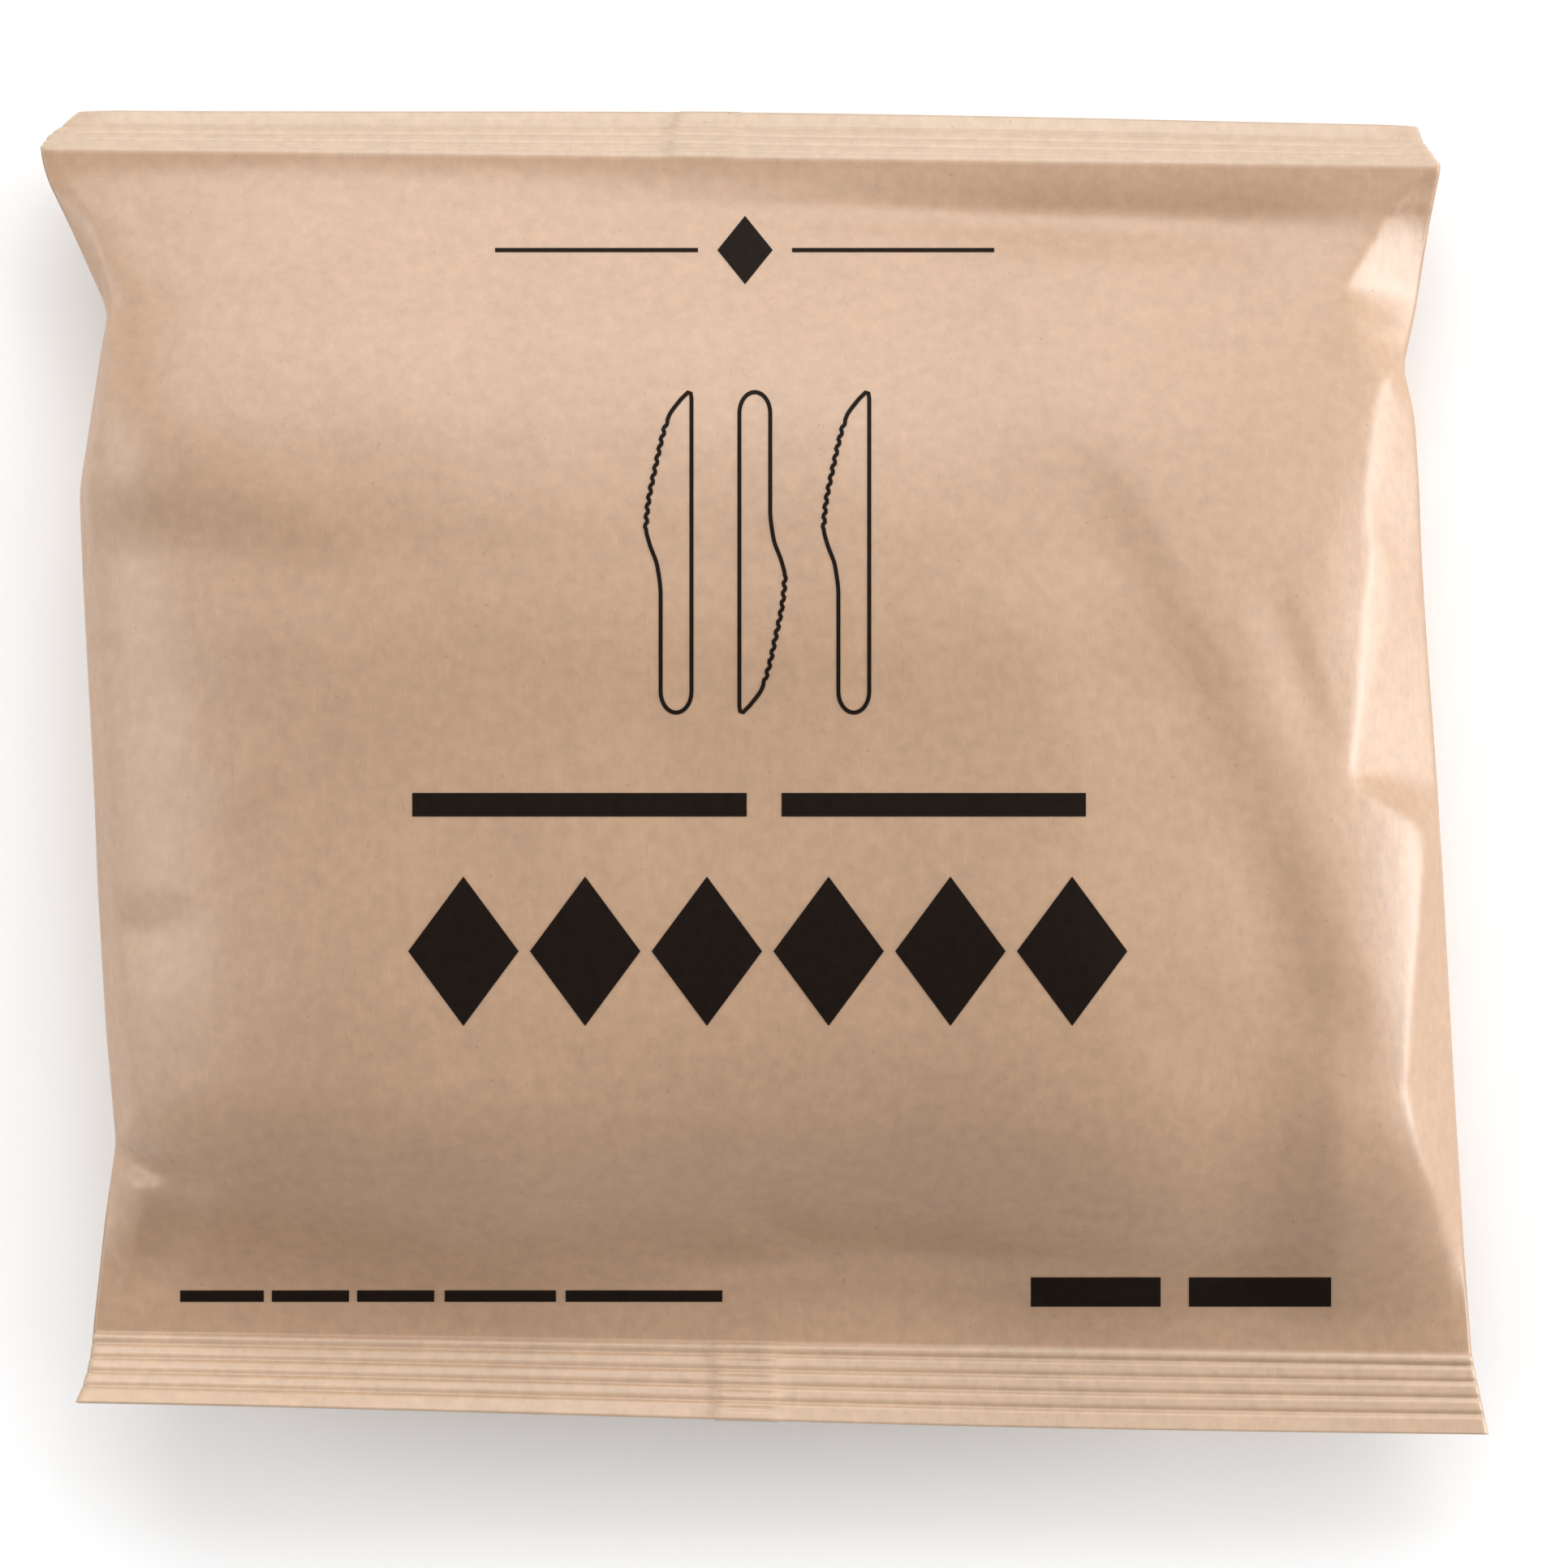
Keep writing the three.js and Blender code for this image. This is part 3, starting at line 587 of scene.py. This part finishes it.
def ring(front, back):
    """A closed loop round the pack: the front from left to right, then the back from right to left."""
    return np.concatenate([front, back[1:-1][::-1]])


def pack_rings():
    """Loops from the free edge of the bottom seal to the free edge of the top seal."""
    shares = column_shares()
    stations = rib_stations()
    outs = np.concatenate([stations, np.linspace(stations[-1], SEAL_DEPTH, RIM_ROWS)[1:]])
    even = np.linspace(0, 1, BODY_ROWS + 1)
    belows = PANEL_LENGTH * (1 - mix(even, (1 - np.cos(np.pi * even)) / 2, CROWDING))
    rings = []
    for out in outs[::-1]:
        rings.append(ring(*(seal_surface(shares, out, front, False) for front in (True, False))))
    for below in belows:
        row = np.full_like(shares, below)
        rings.append(ring(*(body_surface(shares, row, front) for front in (True, False))))
    for out in outs:
        rings.append(ring(*(seal_surface(shares, out, front, True) for front in (True, False))))
    return np.array(rings)


def pack_shift(points):
    """The move that sets the pack's own middle on the CAD node's, and its back on the node's base."""
    low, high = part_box(NODE)
    middle = (low + high) / 2 / MM
    own = (points.reshape(-1, 3).min(axis=0) + points.reshape(-1, 3).max(axis=0)) / 2
    return np.array([middle.x - own[0], middle.y - own[1], low.z / MM - points[..., 2].min()])


def mesh_object(name, points, faces):
    """A smooth mesh object from points in millimetres."""
    mesh = bpy.data.meshes.new(name)
    mesh.from_pydata((points * MM).tolist(), [], faces)
    mesh.validate()
    mesh.polygons.foreach_set("use_smooth", [True] * len(mesh.polygons))
    piece = bpy.data.objects.new(name, mesh)
    bpy.context.collection.objects.link(piece)
    return piece


def pack_piece(rings, shift):
    """The closed paper pack: quads between the rings, and a strip of quads along each free edge."""
    rows, count, _ = rings.shape
    faces = []
    for row in range(rows - 1):
        for i in range(count):
            j = (i + 1) % count
            faces.append((row * count + i, row * count + j, (row + 1) * count + j, (row + 1) * count + i))
    for start, turned in ((0, False), ((rows - 1) * count, True)):
        for i in range(count // 2):
            under = start + (count - i) % count
            beyond = start + (count - i - 1) % count
            corners = [start + i, under, beyond, start + i + 1]
            corners = [corner for k, corner in enumerate(corners) if corner not in corners[:k]]
            faces.append(tuple(corners[::-1] if turned else corners))
    piece = mesh_object("kraft_pack", rings.reshape(-1, 3) + shift, faces)
    colours = np.tile((*PAPER_COLOUR, 1), (rows, count, 1))
    seal_rows = (rows - BODY_ROWS - 1) // 2
    # The seal rows take the paler seal colours, which are painted light rather than the paper's own colour.
    colours[:seal_rows, :, :3] = BOTTOM_SEAL_COLOUR_WITH_PAINTED_LIGHT
    colours[-seal_rows:, :, :3] = TOP_SEAL_COLOUR_WITH_PAINTED_LIGHT
    attribute = piece.data.attributes.new("paper_colour_and_painted_light", "FLOAT_COLOR", "POINT")
    attribute.data.foreach_set("color", colours.ravel())
    return piece


def panel_place(x, y):
    """Share across and distance below the top seal of a place on the front panel's plan."""
    below = PANEL_LENGTH / 2 - y
    share = np.full_like(x, 0.5)
    for _ in range(PLAN_ROUNDS):
        down = np.clip(below / PANEL_LENGTH, 0, 1)
        own = x - mix(-LEAN / 2, LEAN / 2, down)
        below = PANEL_LENGTH / 2 - y - np.tan(np.radians(mix(TOP_TILT, BOTTOM_TILT, down))) * own
        left = -TUBE_WIDTH / 2 + left_inset(below)
        right = TUBE_WIDTH / 2 - right_inset(below)
        share = (own - left) / (right - left)
    return share, below


def from_photo(places, shift):
    """Points of the front panel that the photo's camera sees at the given pixels."""
    scale = 2 * HALF_VIEW / PHOTO_SIZE
    pixels = np.array(places, float)
    seen_x = (pixels[:, 0] - PHOTO_SIZE / 2) * scale
    seen_y = (PHOTO_SIZE / 2 - pixels[:, 1]) * scale
    height = np.full(len(pixels), SEAM_HEIGHT + CROWN_RISE)
    for _ in range(PHOTO_ROUNDS):
        nearer = 1 - (height - SEAM_HEIGHT) / CAMERA_DISTANCE
        x = seen_x * nearer + CAMERA_OFFSET[0] - shift[0]
        y = seen_y * nearer + CAMERA_OFFSET[1] - shift[1]
        share, below = panel_place(x, y)
        points = body_surface(share, below, True)
        height = points[:, 2]
    return points


def feed(tree, socket, value):
    """Links a socket to another node's socket, or sets its value."""
    if isinstance(value, bpy.types.NodeSocket):
        tree.links.new(value, socket)
    else:
        socket.default_value = value


def fed_node(tree, kind, **inputs):
    """A node whose named inputs are values or other nodes' sockets."""
    node = tree.nodes.new(kind)
    for name, value in inputs.items():
        feed(tree, node.inputs[name.replace("_", " ")], value)
    return node


def maths(tree, operation, first, second):
    """The sum or product of two values."""
    node = tree.nodes.new("ShaderNodeMath")
    node.operation = operation
    feed(tree, node.inputs[0], first)
    feed(tree, node.inputs[1], second)
    return node.outputs[0]


def paper_noise(tree, size, stretch, detail, roughness, turn):
    """Noise over the paper with spots of a size in mm, stretched along the pack."""
    place = tree.nodes.new("ShaderNodeTexCoord").outputs["Object"]
    mapping = fed_node(tree, "ShaderNodeMapping", Vector=place)
    mapping.inputs["Rotation"].default_value = (0, 0, turn)
    mapping.inputs["Scale"].default_value = (1 / (size * MM), 1 / (size * stretch * MM), 1 / (size * MM))
    turned = mapping.outputs["Vector"]
    spots = fed_node(tree, "ShaderNodeTexNoise", Vector=turned, Scale=1, Detail=detail, Roughness=roughness)
    return spots.outputs["Fac"]


def pattern(tree, spots, shown, tone):
    """Tone of a pattern over the paper: noise between two values, turned into a range near 1."""
    node = fed_node(tree, "ShaderNodeMapRange", Value=paper_noise(tree, *spots))
    for name, value in zip(("From Min", "From Max", "To Min", "To Max"), (*shown, *tone)):
        node.inputs[name].default_value = value
    return node.outputs["Result"]


def relief(tree, spots, height):
    """Height of a pattern over the paper."""
    return maths(tree, "MULTIPLY", paper_noise(tree, *spots), height)


def shaded(tree, colour, amount):
    """A colour made lighter or darker by an amount near 1."""
    node = tree.nodes.new("ShaderNodeVectorMath")
    node.operation = "SCALE"
    feed(tree, node.inputs[0], colour)
    feed(tree, node.inputs["Scale"], amount)
    return node.outputs["Vector"]


def kraft_material():
    """Brown kraft paper: cloudy pulp, short fibres, a few dark specks and a soft sheen."""
    material = bpy.data.materials.new("kraft_paper")
    material.use_nodes = True
    tree = material.node_tree
    shader = tree.nodes["Principled BSDF"]
    tone = pattern(tree, *CLOUDS)
    for finer in (PULP, FIBRES, DARK_FIBRES, SPECKS):
        tone = maths(tree, "MULTIPLY", tone, pattern(tree, *finer))
    # This colour attribute is the paper's own colour on the body, and paper with painted light on the seals.
    colour = tree.nodes.new("ShaderNodeAttribute")
    colour.attribute_name = "paper_colour_and_painted_light"
    tree.links.new(shaded(tree, colour.outputs["Color"], tone), shader.inputs["Base Color"])
    shader.inputs["Roughness"].default_value = PAPER_ROUGHNESS
    shader.inputs["Specular IOR Level"].default_value = PAPER_GLOSS
    shader.inputs["IOR"].default_value = PAPER_IOR
    height = maths(tree, "ADD", relief(tree, *COCKLE), relief(tree, *GRAIN))
    bump = fed_node(tree, "ShaderNodeBump", Height=height, Strength=1, Distance=MM)
    tree.links.new(bump.outputs["Normal"], shader.inputs["Normal"])
    return material


def ink_material():
    """Near-black brown ink, a little uneven on the fibres."""
    material = bpy.data.materials.new("printed_ink")
    material.use_nodes = True
    tree = material.node_tree
    shader = tree.nodes["Principled BSDF"]
    uneven = pattern(tree, *UNEVEN_INK)
    tree.links.new(shaded(tree, INK_COLOUR, uneven), shader.inputs["Base Color"])
    shader.inputs["Roughness"].default_value = INK_ROUGHNESS
    shader.inputs["Specular IOR Level"].default_value = DULL_GLOSS
    return material


def print_sheet(name, grids, shift):
    """One thin printed shape: grids of pixel places in the photo, each laid just above the paper."""
    points = []
    faces = []
    for grid in grids:
        rows, columns = len(grid), len(grid[0])
        start = len(points)
        flat = [place for row in grid for place in row]
        points.extend(from_photo(flat, shift) + shift + np.array([0, 0, INK_LIFT]))
        for row in range(rows - 1):
            for column in range(columns - 1):
                corner = start + row * columns + column
                faces.append((corner, corner + columns, corner + columns + 1, corner + 1))
    piece = mesh_object(name, np.array(points), faces)
    piece.data.materials.append(INK)
    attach(piece, "root")


def stops(start, end):
    """Even places from one end of a span to the other."""
    return np.linspace(start, end, max(2, int((end - start) / BAR_STEP) + 1))


def bar_grids(bars, row):
    """Places over each of the plain bars in a row."""
    return [[[(x, y) for x in stops(*bar)] for y in stops(*row)] for bar in bars]


def diamond_grid(middle, halves, move=0):
    """Places over a diamond, as rows that are widest in the middle."""
    steps = DIAMOND_STEPS
    rows = []
    for i in range(2 * steps + 1):
        down = i / steps - 1
        reach = halves[0] * (1 - abs(down)) + DIAMOND_TIP
        places = [middle[0] + move + reach * (2 * j / steps - 1) for j in range(steps + 1)]
        rows.append([(place, middle[1] + halves[1] * down) for place in places])
    return rows


def ribbon_grid(path, width):
    """Places along both sides of a closed line of a given width."""
    path = np.array(path, float)
    ahead = np.roll(path, -1, axis=0) - np.roll(path, 1, axis=0)
    ahead /= np.linalg.norm(ahead, axis=1)[:, None]
    aside = np.column_stack([ahead[:, 1], -ahead[:, 0]]) * width / 2
    sides = [np.vstack([path + side, (path + side)[:1]]) for side in (aside, -aside)]
    return [list(zip(*side.T)) for side in sides]


def knife_path(left, turned):
    """The outline of a plain wooden knife: down its back, round the handle's end and up its edge."""
    straight = KNIFE_LENGTH - KNIFE_ROUND_END
    path = [(KNIFE_BACK, down) for down in np.arange(KNIFE_BACK_TOP, straight, BACK_STEP)]
    centre = (KNIFE_BACK + KNIFE_HANDLE) / 2
    half = (KNIFE_BACK - KNIFE_HANDLE) / 2
    for angle in np.linspace(0, np.pi, KNIFE_END_STEPS):
        path.append((centre + half * math.cos(angle), straight + KNIFE_ROUND_END * math.sin(angle)))
    edge = smooth_line(KNIFE_EDGE)
    edge_top, edge_end = KNIFE_EDGE_SPAN
    for down in np.arange(edge_end, edge_top, -EDGE_STEP):
        toothed = TEETH_SPAN[0] < down < TEETH_SPAN[1]
        tooth = TEETH_HEIGHT * math.sin(2 * math.pi * down / TEETH_PITCH) if toothed else 0
        path.append((float(edge(down)) + tooth, down))
    path += KNIFE_TIP
    if turned:
        path = [(KNIFE_WIDTH - across, KNIFE_LENGTH - down) for across, down in path]
    return [(left + across, KNIFE_TOP + down) for across, down in path]


def add_print(shift):
    """Plain generic print: a ruled diamond, three knives, a row of diamonds, and bars in place of words."""
    left_rule, right_rule = bar_grids(TOP_RULES, TOP_RULE_ROW)
    print_sheet("print_top_mark", [left_rule, diamond_grid(*TOP_DIAMOND), right_rule], shift)
    knives = [ribbon_grid(knife_path(left, turned), KNIFE_LINE) for left, turned in KNIVES]
    print_sheet("print_knives", knives, shift)
    print_sheet("print_title", bar_grids(TITLE_BARS, TITLE_ROW), shift)
    diamonds = [diamond_grid(*ROW_DIAMOND, DIAMOND_PITCH * i) for i in range(DIAMOND_COUNT)]
    print_sheet("print_diamonds", diamonds, shift)
    print_sheet("print_small_words", bar_grids(SMALL_WORDS, SMALL_WORDS_ROW), shift)
    print_sheet("print_count", bar_grids(COUNT_BARS, COUNT_ROW), shift)


def add_floor():
    """A plain pale floor under the pack."""
    reach = FLOOR_REACH
    corners = [(-reach, -reach, 0), (reach, -reach, 0), (reach, reach, 0), (-reach, reach, 0)]
    mesh = bpy.data.meshes.new("floor")
    mesh.from_pydata(corners, [], [(0, 1, 2, 3)])
    floor = bpy.data.objects.new("floor", mesh)
    bpy.context.collection.objects.link(floor)
    material = bpy.data.materials.new("pale_floor")
    material.use_nodes = True
    shader = material.node_tree.nodes["Principled BSDF"]
    shader.inputs["Base Color"].default_value = FLOOR_COLOUR
    shader.inputs["Roughness"].default_value = FLOOR_ROUGHNESS
    shader.inputs["Specular IOR Level"].default_value = DULL_GLOSS
    mesh.materials.append(material)


def soft_box(name, turn, height, power, width):
    """A square soft light, aimed at the pack, at a turn from +X and a height in degrees."""
    turn, height = math.radians(turn), math.radians(height)
    place = Vector((math.cos(turn) * math.cos(height), math.sin(turn) * math.cos(height), math.sin(height)))
    data = bpy.data.lights.new(name, "AREA")
    data.energy = power
    data.size = width
    lamp = bpy.data.objects.new(name, data)
    lamp.location = place * LIGHT_DISTANCE
    lamp.rotation_euler = place.to_track_quat("Z", "Y").to_euler()
    bpy.context.collection.objects.link(lamp)


def studio_light():
    """Four soft lights, and a white room."""
    soft_box("top_light", turn=94, height=34, power=26, width=1.6)
    soft_box("corner_light", turn=50, height=44, power=9, width=1.2)
    soft_box("right_light", turn=4, height=12, power=41, width=0.9)
    soft_box("left_light", turn=172, height=24, power=18, width=1.4)
    world = bpy.data.worlds.new("studio")
    bpy.context.scene.world = world
    world.use_nodes = True
    background = world.node_tree.nodes["Background"]
    background.inputs["Color"].default_value = (1, 1, 1, 1)
    background.inputs["Strength"].default_value = ROOM_LIGHT


def photo_camera():
    """A camera straight above the pack, as in the photo."""
    data = bpy.data.cameras.new("photo_camera")
    data.lens = data.sensor_width / 2 * CAMERA_DISTANCE / HALF_VIEW
    camera = bpy.data.objects.new("photo_camera", data)
    camera.location = [place * MM for place in (*CAMERA_OFFSET, SEAM_HEIGHT + CAMERA_DISTANCE)]
    bpy.context.collection.objects.link(camera)
    bpy.context.scene.camera = camera


INK = ink_material()
rings = pack_rings()
shift = pack_shift(rings)
pack = pack_piece(rings, shift)
pack.data.materials.append(kraft_material())
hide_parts(NODE)
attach(pack, "root")
add_print(shift)
add_floor()
studio_light()
photo_camera()
bpy.context.scene.view_settings.view_transform = "Standard"
